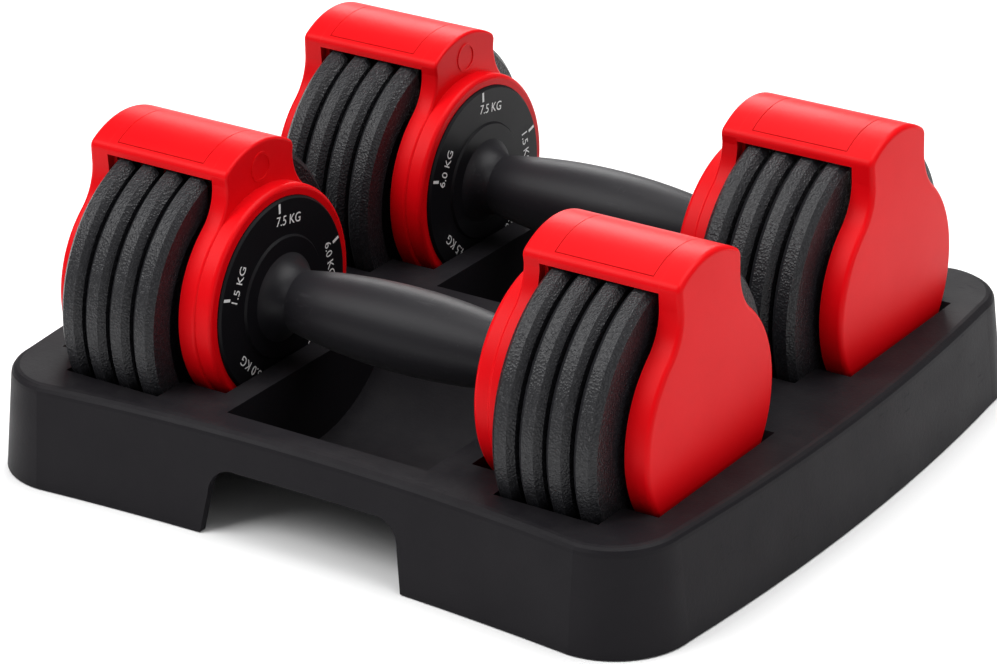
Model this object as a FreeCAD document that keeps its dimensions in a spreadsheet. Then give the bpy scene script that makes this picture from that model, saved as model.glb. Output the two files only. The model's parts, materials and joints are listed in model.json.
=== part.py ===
import FreeCAD, Part

import math
import os

import Sketcher

# An adjustable dumbbell set: two dumbbells that stand in one shared tray.
# X runs along the handles, Z points up, and the origin is under the middle of the tray.
# Each dumbbell is drawn about its own axis and then placed in front or at the back.

Vector = FreeCAD.Vector

SIZES = [
    # name, millimetres (degrees or a count where the note says so), what it measures
    ("axis_height", "=foot_stand + well_lift + well_wall + plate_well_gap + plate_radius + plate_drop", "dumbbell axis above the floor"),
    ("axis_spacing", "=(plate_radius + plate_well_gap + well_wall) * 2 + well_spacing", "between the two dumbbell axes"),
    ("slip_gap", 0.3, "gap between pieces that part from each other"),
    ("running_gap", 0.06, "radial gap of a turning fit"),
    ("rod_radius", 5.0, "core rod"),
    ("tube_radius", 9.0, "handle tube, outside"),
    ("bush_wall", 3.0, "wall of the flanged bush"),
    ("bush_flange", 2.5, "how far the bush's flange stands out"),
    ("flange_thickness", 1.5, "thickness of the bush's flange"),
    ("grip_end_radius", 15.8, "grip where it leaves the collar"),
    ("grip_middle_radius", 21.3, "grip at the palm"),
    ("grip_collar_radius", 22.5, "flared collar against the dial"),
    ("grip_collar_length", 11.0, "length of the flared collar"),
    ("dial_face", 74.4, "dial's printed face from the middle of the grip"),
    ("dial_radius", 50.5, "dial"),
    ("dial_thickness", 5.0, "dial's disc"),
    ("dial_boss_radius", 31.5, "raised middle of the dial"),
    ("dial_boss_height", 1.0, "how far the dial's middle stands proud"),
    ("notch_ring_inner", 38.0, "notched ring behind the dial, inside"),
    ("notch_ring_outer", 45.0, "notched ring behind the dial, outside"),
    ("notch_ring_depth", 3.6, "notched ring behind the dial, along the axis"),
    ("notch_width", 6.2, "notch in the ring, across"),
    ("collar_face", 76.0, "front of the housing's round collar"),
    ("collar_radius", 56.3, "housing's round collar"),
    ("housing_face", 84.9, "top block's face towards the hand"),
    ("housing_back", 94.2, "housing's face towards the plates"),
    ("housing_bulge", 57.5, "lower round of the housing"),
    ("housing_drop", 0.6, "centre of that round below the axis"),
    ("cup_radius", 47.0, "hollow behind the dial"),
    ("cup_floor", 88.0, "bottom of that hollow"),
    ("boss_radius", 15.5, "boss round the bush"),
    ("hat_half_width", 27.0, "top block, half its width"),
    ("hat_crown_radius", 45.8, "curve over the top block"),
    ("hat_top", "=plate_radius - plate_drop + bridge_gap + bridge_wall", "top block's highest line above the axis"),
    ("hat_corner", 4.5, "rounding of the top block's long edges"),
    ("neck_half_width", 26.4, "neck under the top block, half its width"),
    ("neck_radius", 26.0, "hollow curve from the neck to the lower round"),
    ("badge_radius", 7.5, "plain raised ring on the top block"),
    ("badge_width", 1.2, "that ring's width"),
    ("badge_height", 0.5, "that ring's height"),
    ("badge_level", "=hat_top - 13", "that ring above the axis"),
    ("plate_start", "=housing_back + 3.8", "first plate's inner face"),
    ("plate_thickness", 12.3, "plate's rim"),
    ("plate_pitch", "=plate_thickness + plate_gap", "from one plate to the next"),
    ("plate_gap", 2.4, "gap between two plates"),
    ("plate_radius", 75.5, "plate"),
    ("plate_drop", 5.5, "plate's centre below the axis"),
    ("plate_chamfer", 3.0, "chamfer round the rim"),
    ("plate_web", 4.0, "plate's web"),
    ("plate_recess", 60.0, "hollow inside the rim, radius"),
    ("channel_half_width", 25.4, "way out of the hollow, half its width"),
    ("tab_width", 10.0, "tab that the drum catches"),
    ("tab_height", 6.0, "that tab, up and down"),
    ("sleeve_radius", 11.5, "selector drum's sleeve"),
    ("drum_disc_radius", 24.0, "selector drum's discs"),
    ("drum_disc_thickness", 2.0, "selector drum's discs"),
    ("drum_flange_wall", 3.0, "ring flange that holds the tabs"),
    ("drum_inset", 0.6, "disc behind the plate's inner face"),
    ("step_angle", 72.0, "handle turn from one weight to the next, degrees"),
    ("catch_angle", 20.0, "ring flange past the tab, each way, degrees"),
    ("bridge_end", "=plate_start + plate_pitch * 3 + plate_thickness + 4", "joint between bridge and end cap"),
    ("bridge_gap", 1.5, "bridge above the plates"),
    ("bridge_wall", 8.0, "bridge at its middle, up and down"),
    ("lug_thickness", 2.0, "bridge's screw lugs"),
    ("lug_half_width", 22.0, "bridge's screw lugs, half their width"),
    ("lug_bottom", "=hat_top - 22.5", "bottom of the screw lugs above the axis"),
    ("panel_start", 101.0, "top panel's inner end"),
    ("panel_length", 53.0, "top panel"),
    ("panel_half_width", 24.0, "top panel, half its width"),
    ("panel_thickness", 1.4, "top panel"),
    ("panel_seam", 0.4, "seam round the top panel"),
    ("cap_end", "=bridge_end + cap_depth", "end cap's outer face"),
    ("cap_depth", 13.1, "end cap along the axis"),
    ("cap_flat", 12.0, "flat middle of the outer face, radius"),
    ("cap_dome", 2.2, "how far the outer face falls back at its edge"),
    ("cap_bulge", 55.7, "end cap's lower round"),
    ("cap_drop", 4.0, "centre of that round below the axis"),
    ("cap_wall", 4.0, "end cap's outer wall"),
    ("cap_hollow", 45.0, "hollow inside the end cap, radius"),
    ("cap_web", 3.0, "end cap's wall that the rod passes"),
    ("soft_edge", 2.6, "rounding of the shells' outer edges"),
    ("screw_radius", 2.0, "shell screws"),
    ("screw_head_radius", 3.4, "shell screws, head"),
    ("screw_head_height", 1.6, "shell screws, head"),
    ("screw_bite", 5.0, "shell screws, length in the shell"),
    ("screw_spread", 13.0, "shell screws either side of the middle"),
    ("screw_level", "=hat_top - 16.5", "shell screws above the axis"),
    ("nut_width", 15.0, "rod nut across flats"),
    ("nut_height", 5.0, "rod nut"),
    ("lock_width", 10.0, "lock slider's stem"),
    ("lock_thickness", 4.2, "lock slider along the axis"),
    ("lock_tooth_width", 5.4, "lock slider's tooth"),
    ("lock_tooth_height", 5.5, "lock slider's tooth"),
    ("lock_head_width", 17.0, "lock slider's head"),
    ("lock_head_height", 4.0, "lock slider's head"),
    ("lock_travel", 4.0, "how far the lock slider drops"),
    ("spring_radius", 2.4, "lock spring, middle of the wire"),
    ("spring_wire", 0.4, "lock spring, wire radius"),
    ("spring_turns", 6.0, "lock spring, count of its turns"),
    ("spring_top", 19.0, "lock spring's seat below the axis"),
    ("tray_length", 406.6, "tray at its foot, end to end"),
    ("tray_width", 374.0, "tray at its foot, front to back"),
    ("tray_height", 53.4, "tray without its feet"),
    ("tray_draft", 5.0, "how far the walls lean in"),
    ("tray_wall", 3.0, "tray's walls and deck"),
    ("tray_corner", 40.0, "tray's corners in plan"),
    ("end_bow", 8.0, "how far the ends bow out"),
    ("side_waist", 7.0, "how far the long sides draw in at the foot"),
    ("waist_gain", 0.5, "how much more they draw in higher up, a share of the walls' lean"),
    ("tray_lip", 4.5, "rounding of the deck's outer edge"),
    ("well_gap", 2.5, "room round the housings in their wells"),
    ("plate_well_gap", 1.0, "room round the plates in their wells"),
    ("well_wall", 2.2, "walls of the wells"),
    ("well_lift", 0.2, "lowest well above the tray's foot"),
    ("well_spacing", 18.2, "between the wells of the two dumbbells"),
    ("well_start", 71.8, "wells' inner end"),
    ("rib_depth", 12.0, "ribs between the plates"),
    ("rib_top", 42.0, "top of the ribs above the floor"),
    ("seat_width", 3.2, "saddles that carry the housings"),
    ("trough_radius", 75.0, "finger trough round the grip"),
    ("pocket_half_length", 58.5, "finger trough along X, half"),
    ("handhold_half_width", 59.0, "hand cut-out at the foot, half"),
    ("handhold_taper", 6.0, "how much narrower it is at its top, each side"),
    ("handhold_height", 34.3, "hand cut-out above the tray's foot"),
    ("handhold_corner", 13.0, "hand cut-out's top corners"),
    ("foot_radius", 9.0, "rubber foot"),
    ("foot_height", 5.0, "rubber foot"),
    ("foot_stand", 0.6, "how far the foot stands out"),
    ("foot_inset", 34.0, "foot from the tray's corner, each way"),
]

OPERATIONS = {
    "+": lambda a, b: a + b,
    "-": lambda a, b: a - b,
    "*": lambda a, b: a * b,
    "/": lambda a, b: a / b,
}


class Size:
    """A number and the spreadsheet expression that drives it."""

    def __init__(self, text, value):
        self.text = text
        self.value = value

    def join(self, sign, other, swapped=False):
        other = as_size(other)
        first, second = (other, self) if swapped else (self, other)
        value = OPERATIONS[sign](first.value, second.value)
        return Size(f"({first.text} {sign} {second.text})", value)

    def __add__(self, other):
        return self.join("+", other)

    def __radd__(self, other):
        return self.join("+", other, swapped=True)

    def __sub__(self, other):
        return self.join("-", other)

    def __rsub__(self, other):
        return self.join("-", other, swapped=True)

    def __mul__(self, other):
        return self.join("*", other)

    def __rmul__(self, other):
        return self.join("*", other, swapped=True)

    def __truediv__(self, other):
        return self.join("/", other)

    def __neg__(self):
        return Size(f"(-1 * {self.text})", -self.value)


def as_size(value):
    return value if isinstance(value, Size) else Size(f"({float(value)!r})", float(value))


def root(size):
    return Size(f"sqrt({size.text})", math.sqrt(size.value))


def chord_height(radius, across):
    """How far a circle of this radius stands above its centre at a distance across."""
    return root(radius * radius - across * across)


doc = FreeCAD.newDocument("adjustable_dumbbell_set")
sheet = doc.addObject("Spreadsheet::Sheet", "sizes")
for row, (name, value, note) in enumerate(SIZES, start=1):
    sheet.set(f"A{row}", note)
    sheet.setAlias(f"B{row}", name)
for row, (name, value, note) in enumerate(SIZES, start=1):
    sheet.set(f"B{row}", str(value))
doc.recompute()


class Sheet:
    """Gives every named size of the spreadsheet as a Size."""

    def __getattr__(self, name):
        return Size(f"sizes.{name}", float(getattr(sheet, name)))


s = Sheet()
ZERO = as_size(0)


# ---------------------------------------------------------------- sketches

class Arc:
    """Marks the edge after a point as an arc; a hollow one bends inwards."""

    def __init__(self, radius, hollow=False):
        self.radius = radius
        self.hollow = hollow


def plane_of(body, role):
    return next(plane for plane in body.Origin.OriginFeatures if plane.Role == role)


def bind(thing, **sizes):
    """Drive properties of an object from the sheet."""
    for name, size in sizes.items():
        thing.setExpression(name.replace("__", "."), as_size(size).text)


class Sketch:
    """A sketch on one of its body's origin planes, moved by lift along the plane's normal."""

    def __init__(self, body, role, lift=ZERO, up=ZERO):
        self.object = body.newObject("Sketcher::SketchObject", f"{body.Name}_sketch")
        self.object.AttachmentSupport = [(plane_of(body, role), "")]
        self.object.MapMode = "FlatFace"
        bind(self.object, AttachmentOffset__Base__z=lift, AttachmentOffset__Base__y=up)

    def hold(self, kind, *where):
        *places, size = where
        size = as_size(size)
        index = self.object.addConstraint(Sketcher.Constraint(kind, *places, size.value))
        self.object.setExpression(f"Constraints[{index}]", size.text)

    def pin(self, edge, vertex, point):
        self.hold("DistanceX", -1, 1, edge, vertex, point[0])
        self.hold("DistanceY", -1, 1, edge, vertex, point[1])

    def circle(self, centre, radius):
        middle = Vector(as_size(centre[0]).value, as_size(centre[1]).value, 0)
        edge = self.object.addGeometry(Part.Circle(middle, Vector(0, 0, 1), as_size(radius).value))
        self.pin(edge, 3, centre)
        self.hold("Radius", edge, radius)
        return self

    def outline(self, *steps):
        """A closed outline, drawn anticlockwise: points, and an Arc after a point that starts one."""
        points = [step for step in steps if not isinstance(step, Arc)]
        bends = {}
        for step in steps:
            if isinstance(step, Arc):
                bends[last] = step
            else:
                last = points.index(step)
        edges = []
        for number, point in enumerate(points):
            start = flat(point)
            finish = flat(points[(number + 1) % len(points)])
            bend = bends.get(number)
            shape = arc_between(start, finish, bend) if bend else Part.LineSegment(start, finish)
            swapped = bool(bend and bend.hollow)
            edges.append((self.object.addGeometry(shape), 2 if swapped else 1, 1 if swapped else 2))
        for number, point in enumerate(points):
            edge, vertex, _ = edges[number]
            before, _, end = edges[number - 1]
            self.object.addConstraint(Sketcher.Constraint("Coincident", before, end, edge, vertex))
            self.pin(edge, vertex, point)
            if number in bends:
                self.hold("Radius", edge, bends[number].radius)
        return self

    def box(self, low, high):
        return self.outline((low[0], low[1]), (high[0], low[1]), (high[0], high[1]), (low[0], high[1]))


def flat(point):
    return Vector(as_size(point[0]).value, as_size(point[1]).value, 0)


def arc_between(start, finish, bend):
    radius = as_size(bend.radius).value
    chord = finish - start
    side = Vector(-chord.y, chord.x, 0).normalize()
    reach = math.sqrt(max(radius ** 2 - (chord.Length / 2) ** 2, 0))
    centre = (start + finish) * 0.5 + side * (-reach if bend.hollow else reach)
    first, second = (finish, start) if bend.hollow else (start, finish)
    low = math.atan2(first.y - centre.y, first.x - centre.x)
    high = math.atan2(second.y - centre.y, second.x - centre.x)
    if high < low:
        high += 2 * math.pi
    return Part.ArcOfCircle(Part.Circle(centre, Vector(0, 0, 1), radius), low, high)


# ---------------------------------------------------------------- features

def new_body(label):
    body = doc.addObject("PartDesign::Body", label)
    body.Label = label
    body.AllowCompound = True
    return body


def add_feature(body, kind, sketch):
    feature = body.newObject(f"PartDesign::{kind}", f"{body.Name}_{kind}")
    feature.Profile = sketch.object
    return feature


def finish_feature(body, feature, grows):
    """Recompute, and see that the feature really added or removed material."""
    before = body.Shape.Volume if body.Shape.Solids else 0.0
    doc.recompute()
    after = body.Shape.Volume
    if (after - before) * (1 if grows else -1) <= 0:
        raise RuntimeError(f"{feature.Name} left {body.Label} as it was")
    return feature


def pad(body, sketch, length):
    feature = add_feature(body, "Pad", sketch)
    bind(feature, Length=length)
    return finish_feature(body, feature, grows=True)


def pocket(body, sketch, length):
    """Cut along the sketch's normal."""
    feature = add_feature(body, "Pocket", sketch)
    feature.Reversed = True
    bind(feature, Length=length)
    return finish_feature(body, feature, grows=False)


def turn(body, sketch, angle=None, cut=False):
    """Turn a sketch about its own horizontal axis."""
    feature = add_feature(body, "Groove" if cut else "Revolution", sketch)
    feature.ReferenceAxis = (sketch.object, ["H_Axis"])
    if angle is None:
        feature.Angle = 360
    else:
        feature.Midplane = True
        bind(feature, Angle=angle)
    return finish_feature(body, feature, grows=not cut)


def soften(body, radius, wanted):
    """Round the edges of a body that the test wants."""
    tip = body.Tip
    names = [f"Edge{number}" for number, edge in enumerate(tip.Shape.Edges, start=1) if wanted(edge)]
    feature = body.newObject("PartDesign::Fillet", f"{body.Name}_Fillet")
    feature.Base = (tip, names)
    bind(feature, Radius=radius)
    return finish_feature(body, feature, grows=False)


def lies_at(edge, x):
    """Whether an edge lies in the plane at this distance along the handle."""
    box = edge.BoundBox
    return abs(box.XMin - x.value) < 1e-4 and abs(box.XMax - x.value) < 1e-4


def place(thing, dumbbell, turned):
    """Put a piece drawn about the dumbbell's own axis where that dumbbell stands."""
    if turned:
        thing.Placement = FreeCAD.Placement(Vector(), FreeCAD.Rotation(Vector(0, 0, 1), 180))
    bind(thing, Placement__Base__y=s.axis_spacing / 2 * dumbbell.side, Placement__Base__z=s.axis_height)


# ---------------------------------------------------------------- shared outlines

def head_outline(sketch, bulge, drop):
    """Top block, neck and lower round of a housing or an end cap, seen along the handle."""
    neck_middle = s.neck_half_width + s.neck_radius
    neck_level = chord_height(bulge + s.neck_radius, neck_middle) - drop
    share = bulge / (bulge + s.neck_radius)
    join_out = neck_middle * share
    join_up = (neck_level + drop) * share - drop
    crown_middle = s.hat_top - s.hat_crown_radius
    inner = s.hat_crown_radius - s.hat_corner
    corner_out = s.hat_half_width - s.hat_corner
    corner_level = chord_height(inner, corner_out)
    crown_share = s.hat_crown_radius / inner
    crown_out = corner_out * crown_share
    crown_up = crown_middle + corner_level * crown_share
    side_top = crown_middle + corner_level
    return sketch.outline(
        (ZERO, -(bulge + drop)), Arc(bulge),
        (join_out, join_up), Arc(s.neck_radius, hollow=True),
        (s.neck_half_width, neck_level),
        (s.hat_half_width, side_top), Arc(s.hat_corner),
        (crown_out, crown_up), Arc(s.hat_crown_radius),
        (-crown_out, crown_up), Arc(s.hat_corner),
        (-s.hat_half_width, side_top),
        (-s.neck_half_width, neck_level), Arc(s.neck_radius, hollow=True),
        (-join_out, join_up), Arc(bulge),
    )


def plate_face(number):
    """Inner face of a plate, counted from the hand outwards."""
    return s.plate_start + s.plate_pitch * number


PLATES = 4
STACK_END = plate_face(PLATES - 1) + s.plate_thickness
SCREW_SPOTS = (-s.screw_spread, s.screw_spread)
LIP_STEPS = 4


# ---------------------------------------------------------------- pieces that turn with the hand

def make_grip(label):
    body = new_body(label)
    half = s.dial_face - s.dial_boss_height
    neck = half - s.grip_collar_length
    rise = s.grip_middle_radius - s.grip_end_radius
    barrel = (neck * neck + rise * rise) / (rise * 2)
    profile = Sketch(body, "XY_Plane").outline(
        (-half, s.tube_radius),
        (half, s.tube_radius),
        (half, s.grip_collar_radius), Arc(s.grip_collar_length * 1.25, hollow=True),
        (neck, s.grip_end_radius), Arc(barrel),
        (ZERO, s.grip_middle_radius), Arc(barrel),
        (-neck, s.grip_end_radius), Arc(s.grip_collar_length * 1.25, hollow=True),
        (-half, s.grip_collar_radius),
    )
    turn(body, profile)
    return body


def make_handle_tube(label):
    body = new_body(label)
    half = STACK_END + s.drum_inset * 4
    bore = s.rod_radius + s.running_gap
    turn(body, Sketch(body, "XY_Plane").box((-half, bore), (half, s.tube_radius)))
    return body


def make_dial(label, side):
    """Printed disc with a notched ring behind it; side is +1 or -1 along the handle."""
    body = new_body(label)
    face = s.dial_face
    boss_face = face - s.dial_boss_height
    back = face + s.dial_thickness
    tail = back + s.notch_ring_depth
    edge = s.dial_radius - 1
    points = [
        (boss_face, s.tube_radius),
        (back, s.tube_radius),
        (back, s.notch_ring_inner),
        (tail, s.notch_ring_inner),
        (tail, s.notch_ring_outer),
        (back, s.notch_ring_outer),
        (back, s.dial_radius),
        (face + 1, s.dial_radius),
        (face, edge),
        (face, s.dial_boss_radius),
        (boss_face, s.dial_boss_radius - 1),
    ]
    if side < 0:
        points = [(-x, r) for x, r in reversed(points)]
    turn(body, Sketch(body, "XY_Plane").outline(*points))
    start = back if side > 0 else -tail
    floor = s.notch_ring_inner + s.lock_travel + s.slip_gap
    notch = Sketch(body, "YZ_Plane", lift=start)
    notch.box((-s.notch_width / 2, -floor), (s.notch_width / 2, -s.notch_ring_inner + 1))
    first = pocket(body, notch, s.notch_ring_depth)
    pattern = body.newObject("PartDesign::PolarPattern", f"{label}_notches")
    pattern.Originals = [first]
    pattern.Axis = (plane_axis(body), [""])
    pattern.Angle = 360
    pattern.Occurrences = 5
    body.Tip = pattern
    finish_feature(body, pattern, grows=False)
    return body


def plane_axis(body):
    return next(axis for axis in body.Origin.OriginFeatures if axis.Role == "X_Axis")


ALONG_X = FreeCAD.Rotation(Vector(1, 1, 1), 120)


def round_bar(name, start, length, radius, out=ZERO, up=ZERO):
    """A Part cylinder along X."""
    bar = doc.addObject("Part::Cylinder", name)
    bar.Placement = FreeCAD.Placement(Vector(), ALONG_X)
    bind(bar, Radius=radius, Height=length, Placement__Base__x=start)
    bind(bar, Placement__Base__y=out, Placement__Base__z=up)
    return bar


def block(name, low, high):
    """A Part box between two corners."""
    box = doc.addObject("Part::Box", name)
    bind(box, Length=as_size(high[0]) - low[0], Width=as_size(high[1]) - low[1], Height=as_size(high[2]) - low[2])
    bind(box, Placement__Base__x=low[0], Placement__Base__y=low[1], Placement__Base__z=low[2])
    return box


def fuse(name, things):
    whole = doc.addObject("Part::MultiFuse", name)
    whole.Shapes = things
    whole.Refine = True
    return whole


def cut(name, base, tool):
    rest = doc.addObject("Part::Cut", name)
    rest.Base = base
    rest.Tool = tool
    return rest


def make_selector_drum(label, side):
    """Sleeve with a disc in each plate; a disc's ring flange carries the plate's tab while chosen."""
    body = new_body(f"{label}_sleeve")
    start = s.housing_back + 1
    end = STACK_END
    steps = [(start, s.tube_radius), (end, s.tube_radius), (end, s.sleeve_radius)]
    for number in reversed(range(PLATES)):
        near = plate_face(number) + s.drum_inset
        far = near + s.drum_disc_thickness
        steps += [(far, s.sleeve_radius), (far, s.drum_disc_radius)]
        steps += [(near, s.drum_disc_radius), (near, s.sleeve_radius)]
    steps.append((start, s.sleeve_radius))
    if side < 0:
        steps = [(-x, r) for x, r in reversed(steps)]
    turn(body, Sketch(body, "XY_Plane").outline(*steps))
    parts = [body]
    reach = s.plate_thickness - s.plate_web - s.drum_inset - s.drum_disc_thickness - s.slip_gap
    for number in range(PLATES):
        near = plate_face(number) + s.drum_inset + s.drum_disc_thickness
        low = near if side > 0 else -(near + reach)
        turns = s.step_angle * (PLATES - 1 - number)
        sector = flange_sector(f"{label}_flange_{number + 1}", low, reach, turns)
        parts.append(sector)
    whole = fuse(label, parts)
    whole.Label = label
    return whole


def flange_sector(name, start, length, turns):
    """Part of a ring, from the tab's place back over the settings that carry the plate."""
    span = s.catch_angle * 2 + turns
    first = -(s.catch_angle + turns + 90)
    rings = []
    for part, radius in (("outer", s.drum_disc_radius), ("inner", s.drum_disc_radius - s.drum_flange_wall)):
        ring = round_bar(f"{name}_{part}", start, length, radius)
        ring.Placement = FreeCAD.Placement(Vector(), ALONG_X.multiply(FreeCAD.Rotation(Vector(0, 0, 1), first.value)))
        bind(ring, Angle=span)
        rings.append(ring)
    return cut(name, *rings)


# ---------------------------------------------------------------- shells of a head

def make_inner_housing(label):
    body = new_body(label)
    block_depth = s.housing_back - s.housing_face
    pad(body, head_outline(Sketch(body, "YZ_Plane", lift=s.housing_face), s.housing_bulge, s.housing_drop), block_depth)
    collar = Sketch(body, "YZ_Plane", lift=s.collar_face).circle((ZERO, ZERO), s.collar_radius)
    pad(body, collar, s.housing_face - s.collar_face + 1)
    soften(body, s.soft_edge, lambda edge: lies_at(edge, s.collar_face))
    soften(body, s.soft_edge * 0.6, lambda edge: lies_at(edge, s.housing_face) and edge.BoundBox.ZMin > 20)
    well = Sketch(body, "YZ_Plane", lift=s.collar_face - 1).circle((ZERO, ZERO), s.dial_radius + s.slip_gap)
    pocket(body, well, s.dial_face + s.dial_thickness + 0.6 - s.collar_face + 1)
    cup = Sketch(body, "YZ_Plane", lift=s.dial_face + s.dial_thickness).circle((ZERO, ZERO), s.cup_radius)
    pocket(body, cup, s.cup_floor - s.dial_face - s.dial_thickness)
    boss_face = s.dial_face + s.dial_thickness + s.slip_gap + s.flange_thickness
    boss = Sketch(body, "YZ_Plane", lift=boss_face).circle((ZERO, ZERO), s.boss_radius)
    pad(body, boss, s.cup_floor - boss_face + 1)
    ledge = Sketch(body, "YZ_Plane", lift=boss_face)
    ledge.box((-s.lock_width / 2, -s.spring_top), (s.lock_width / 2, -s.boss_radius + 1))
    pad(body, ledge, s.cup_floor - boss_face + 1)
    bore = Sketch(body, "YZ_Plane", lift=boss_face - 1).circle((ZERO, ZERO), s.tube_radius + s.bush_wall)
    pocket(body, bore, s.housing_back - boss_face + 2)
    half = s.lock_width / 2 + s.slip_gap
    slot = Sketch(body, "YZ_Plane", lift=lock_start() - s.slip_gap)
    slot.box((-half, -s.housing_bulge - s.housing_drop - 2), (half, -s.cup_radius + 3))
    pocket(body, slot, s.lock_thickness + s.slip_gap * 2)
    holes = Sketch(body, "YZ_Plane", lift=s.housing_back - s.screw_bite)
    for out in SCREW_SPOTS:
        holes.circle((out, s.screw_level), s.screw_radius)
    pocket(body, holes, s.screw_bite + 1)
    badge = Sketch(body, "YZ_Plane", lift=s.housing_face - s.badge_height)
    badge.circle((ZERO, s.badge_level), s.badge_radius)
    badge.circle((ZERO, s.badge_level), s.badge_radius - s.badge_width)
    pad(body, badge, s.badge_height + 0.5)
    return body


def lock_start():
    """Lock slider's face towards the dial, clear of the notched ring."""
    return s.dial_face + s.dial_thickness + s.notch_ring_depth + s.slip_gap


def make_bridge(label):
    """Arched cover over the plates, with a screw lug at each end and a recess for the top panel."""
    body = new_body(label)
    under = s.plate_radius + s.bridge_gap
    edge_level = chord_height(under, s.hat_half_width) - s.plate_drop
    crown_middle = s.hat_top - s.hat_crown_radius
    inner = s.hat_crown_radius - s.hat_corner
    corner_out = s.hat_half_width - s.hat_corner
    corner_level = chord_height(inner, corner_out)
    crown_share = s.hat_crown_radius / inner
    crown_out = corner_out * crown_share
    crown_up = crown_middle + corner_level * crown_share
    arch = Sketch(body, "YZ_Plane", lift=s.housing_back).outline(
        (-s.hat_half_width, edge_level), Arc(under, hollow=True),
        (s.hat_half_width, edge_level),
        (s.hat_half_width, crown_middle + corner_level), Arc(s.hat_corner),
        (crown_out, crown_up), Arc(s.hat_crown_radius),
        (-crown_out, crown_up), Arc(s.hat_corner),
        (-s.hat_half_width, crown_middle + corner_level),
    )
    pad(body, arch, s.bridge_end - s.housing_back)
    for start in (s.housing_back, s.bridge_end - s.lug_thickness):
        lug = Sketch(body, "YZ_Plane", lift=start)
        lug.box((-s.lug_half_width, s.lug_bottom), (s.lug_half_width, s.plate_radius - s.plate_drop - 1))
        pad(body, lug, s.lug_thickness)
        holes = Sketch(body, "YZ_Plane", lift=start - 1)
        for out in SCREW_SPOTS:
            holes.circle((out, s.screw_level), s.screw_radius)
        pocket(body, holes, s.lug_thickness + 2)
    bed = s.hat_crown_radius - s.panel_thickness
    recess = Sketch(body, "XZ_Plane", up=crown_middle)
    recess.box((s.panel_start, bed), (s.panel_start + s.panel_length, s.hat_crown_radius + 1))
    turn(body, recess, angle=panel_angle(s.panel_half_width), cut=True)
    return body


def panel_angle(half_width):
    text = f"(2 * asin({half_width.text} / sizes.hat_crown_radius))"
    ratio = half_width.value / s.hat_crown_radius.value
    return Size(text, 2 * math.degrees(math.asin(ratio)))


def make_top_panel(label):
    body = new_body(label)
    bed = s.hat_crown_radius - s.panel_thickness
    strip = Sketch(body, "XZ_Plane", up=s.hat_top - s.hat_crown_radius)
    low = s.panel_start + s.panel_seam
    high = s.panel_start + s.panel_length - s.panel_seam
    strip.box((low, bed), (high, s.hat_crown_radius))
    turn(body, strip, angle=panel_angle(s.panel_half_width - s.panel_seam))
    return body


def make_end_cap(label):
    body = new_body(label)
    outline = head_outline(Sketch(body, "YZ_Plane", lift=s.bridge_end), s.cap_bulge, s.cap_drop)
    pad(body, outline, s.cap_end - s.bridge_end)
    reach = s.hat_top + 3
    span = reach - s.cap_flat
    dome = (span * span + s.cap_dome * s.cap_dome) / (s.cap_dome * 2)
    shave = Sketch(body, "XY_Plane").outline(
        (s.cap_end, s.cap_flat),
        (s.cap_end + 2, s.cap_flat),
        (s.cap_end + 2, reach),
        (s.cap_end - s.cap_dome, reach), Arc(dome, hollow=True),
    )
    turn(body, shave, cut=True)
    near_face = s.cap_end.value - s.cap_dome.value - 0.5
    soften(body, s.soft_edge, lambda edge: edge.BoundBox.XMin > near_face and not edge.Closed)
    hollow = Sketch(body, "YZ_Plane", lift=s.bridge_end).circle((ZERO, -s.cap_drop), s.cap_hollow)
    hollow.circle((ZERO, ZERO), s.boss_radius)
    pocket(body, hollow, s.cap_end - s.cap_wall - s.bridge_end)
    rod_hole = Sketch(body, "YZ_Plane", lift=s.bridge_end - 1).circle((ZERO, ZERO), s.rod_radius)
    pocket(body, rod_hole, s.cap_web + 2)
    nut_room = Sketch(body, "YZ_Plane", lift=s.bridge_end + s.cap_web)
    nut_room.circle((ZERO, ZERO), s.boss_radius - s.cap_web)
    pocket(body, nut_room, s.cap_end - s.cap_wall - s.bridge_end - s.cap_web)
    holes = Sketch(body, "YZ_Plane", lift=s.bridge_end - 1)
    for out in SCREW_SPOTS:
        holes.circle((out, s.screw_level), s.screw_radius)
    pocket(body, holes, s.screw_bite + 1)
    return body


# ---------------------------------------------------------------- plates

def make_plate(label, number):
    """Weight plate with a chamfered rim, a thin web, a way in for the drum and a tab to lift it by."""
    body = new_body(label)
    near = plate_face(number)
    far = near + s.plate_thickness
    web = far - s.plate_web
    rim = s.plate_radius - s.plate_chamfer
    disc = Sketch(body, "XY_Plane", lift=-s.plate_drop).outline(
        (near, s.plate_recess),
        (web, s.plate_recess),
        (web, ZERO),
        (far, ZERO),
        (far, rim),
        (far - s.plate_chamfer, s.plate_radius),
        (near + s.plate_chamfer, s.plate_radius),
        (near, rim),
    )
    turn(body, disc)
    channel = Sketch(body, "YZ_Plane", lift=near)
    channel.box((-s.channel_half_width, ZERO), (s.channel_half_width, s.plate_radius))
    pocket(body, channel, s.plate_thickness - s.plate_web)
    half = s.sleeve_radius + s.slip_gap * 2
    slot = Sketch(body, "YZ_Plane", lift=near).outline(
        (ZERO, -half), Arc(half),
        (half, ZERO),
        (half, s.plate_radius),
        (-half, s.plate_radius),
        (-half, ZERO), Arc(half),
    )
    pocket(body, slot, s.plate_thickness)
    flange = s.drum_disc_radius - s.drum_flange_wall
    tab_bottom = chord_height(flange - s.slip_gap, s.tab_width / 2)
    start = s.drum_inset + s.drum_disc_thickness + s.slip_gap
    tab = Sketch(body, "YZ_Plane", lift=near + start)
    tab.box((-s.tab_width / 2, -tab_bottom), (s.tab_width / 2, s.tab_height - tab_bottom))
    pad(body, tab, s.plate_thickness - s.plate_web - start + 1)
    return body


# ---------------------------------------------------------------- rod, bushes and fasteners

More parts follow.
